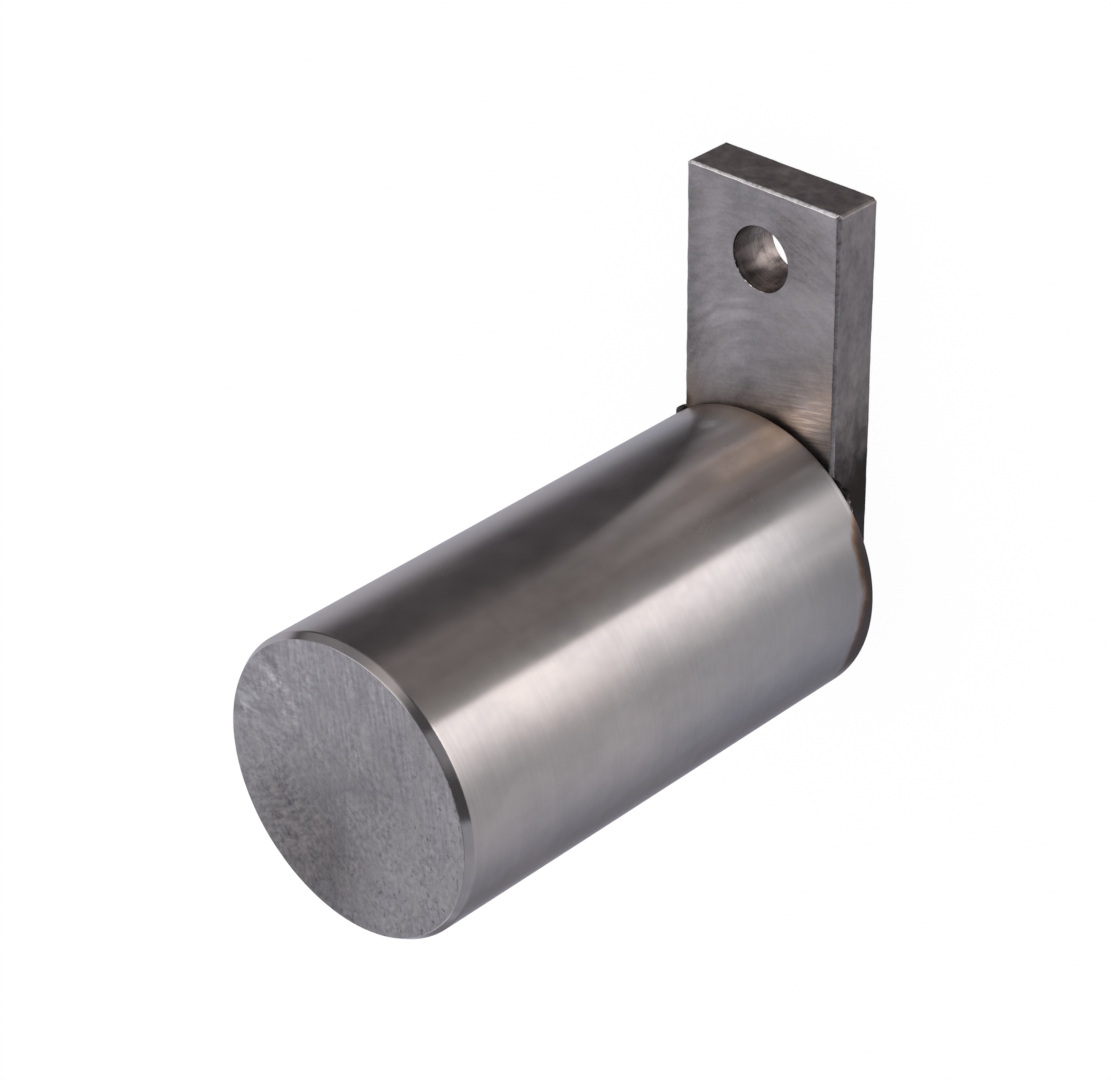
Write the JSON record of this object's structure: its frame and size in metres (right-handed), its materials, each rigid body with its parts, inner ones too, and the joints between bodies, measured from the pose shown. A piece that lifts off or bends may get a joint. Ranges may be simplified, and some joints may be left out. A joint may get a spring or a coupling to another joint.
{
  "type": "welded flag pin",
  "caption": "Solid round pin with a chamfered free end and a drilled flat flag welded across its other end, to hold it in place with a bolt.",
  "frame": {"origin": "where the pin's axis meets the flag's back face", "axes": "+Z along the pin to its free end, +Y along the flag to its bolt hole"},
  "size_m": [0.065, 0.116, 0.1325],
  "materials": {
    "turned_bar": "turned and linished bright, sawn and dressed at the free end, with heat tint at the weld",
    "flat_bar": "ground on the flats, with sawn ends and hand-broken edges",
    "weld_metal": "as welded, rippled, with dark heat tint"
  },
  "bodies": {
    "root": {"pin_shank": "turned_bar", "flag_plate": "flat_bar", "weld_bead": "weld_metal"}
  },
  "joints": []
}
